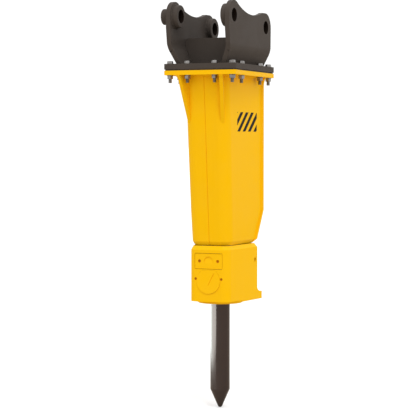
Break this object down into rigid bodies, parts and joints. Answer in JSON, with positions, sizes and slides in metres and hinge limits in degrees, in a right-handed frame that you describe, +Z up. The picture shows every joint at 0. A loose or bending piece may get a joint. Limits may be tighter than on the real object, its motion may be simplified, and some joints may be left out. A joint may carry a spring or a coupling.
{
  "type": "hydraulic breaker hammer",
  "caption": "Boxed hydraulic breaker for an excavator: bolted two-pin top bracket, tapered steel housing, percussion cell and conical chisel.",
  "frame": {"origin": "middle of the stick pin bore, halfway between the ears", "axes": "+X along the pins, away from the ear with the lock collars; +Y to the rear, towards the link pin; +Z up, away from the chisel's point"},
  "size_m": [0.4045, 0.582, 2.063],
  "materials": {
    "dark_paint": "satin dark umber grey paint on plate steel",
    "yellow_paint": "semi-gloss signal yellow paint on plate steel",
    "zinc_steel": "dull zinc plated fasteners",
    "cell_steel": "machined and lightly oiled alloy steel",
    "ground_steel": "ground and hardened",
    "bronze": "turned bronze",
    "seal_rubber": "nitrile",
    "buffer_rubber": "cast polyurethane",
    "forged_steel": "forged, turned and oil blackened tool steel"
  },
  "bodies": {
    "housing": {"bracket_base_plate": "dark_paint", "bracket_ear_left": "dark_paint", "bracket_ear_right": "dark_paint", "cross_plate_front": "dark_paint", "cross_plate_rear": "dark_paint", "ear_bosses": "dark_paint", "pin_lock_collars": "dark_paint", "flange_bolts": "zinc_steel", "bolt_washers": "zinc_steel", "flange_nuts": "zinc_steel", "flange_shim": "dark_paint", "housing_flange": "yellow_paint", "housing_shell_left": "yellow_paint", "housing_shell_right": "yellow_paint", "housing_rear_plate": "yellow_paint", "front_gusset_left": "yellow_paint", "front_gusset_right": "yellow_paint", "lower_housing": "yellow_paint", "front_ring": "yellow_paint", "rear_foot": "yellow_paint", "retainer_cover": "yellow_paint", "cover_screws": "zinc_steel", "access_disc": "yellow_paint", "disc_screws": "zinc_steel", "upper_buffer": "buffer_rubber", "back_head": "cell_steel", "gas_valve": "bronze", "cylinder": "cell_steel", "front_head": "cell_steel", "tie_rods": "zinc_steel", "tie_rod_nuts": "zinc_steel", "seal_carrier": "bronze", "piston_seals": "seal_rubber", "valve_block": "cell_steel", "valve_cap": "cell_steel", "valve_cap_screws": "zinc_steel", "hose_port_adapters": "zinc_steel", "accumulator_body": "cell_steel", "accumulator_cover": "cell_steel", "accumulator_screws": "zinc_steel", "accumulator_diaphragm": "seal_rubber", "upper_bushing": "bronze", "lower_bushing": "bronze", "dust_seal": "seal_rubber", "retaining_pins": "ground_steel", "side_wear_pads": "buffer_rubber", "lower_buffer": "buffer_rubber", "grease_nipple": "zinc_steel"},
    "chisel": {"chisel": "forged_steel"},
    "piston": {"piston": "ground_steel"},
    "valve_spool": {"valve_spool": "ground_steel"}
  },
  "joints": [
    {"name": "chisel_slide", "type": "slide", "parent": "housing", "child": "chisel", "axis": [0, 0, 1], "range_m": [0, 0.08]},
    {"name": "piston_slide", "type": "slide", "parent": "housing", "child": "piston", "axis": [0, 0, 1], "range_m": [0, 0.08]},
    {"name": "spool_slide", "type": "slide", "parent": "housing", "child": "valve_spool", "axis": [0, 0, 1], "range_m": [0, 0.012]}
  ]
}
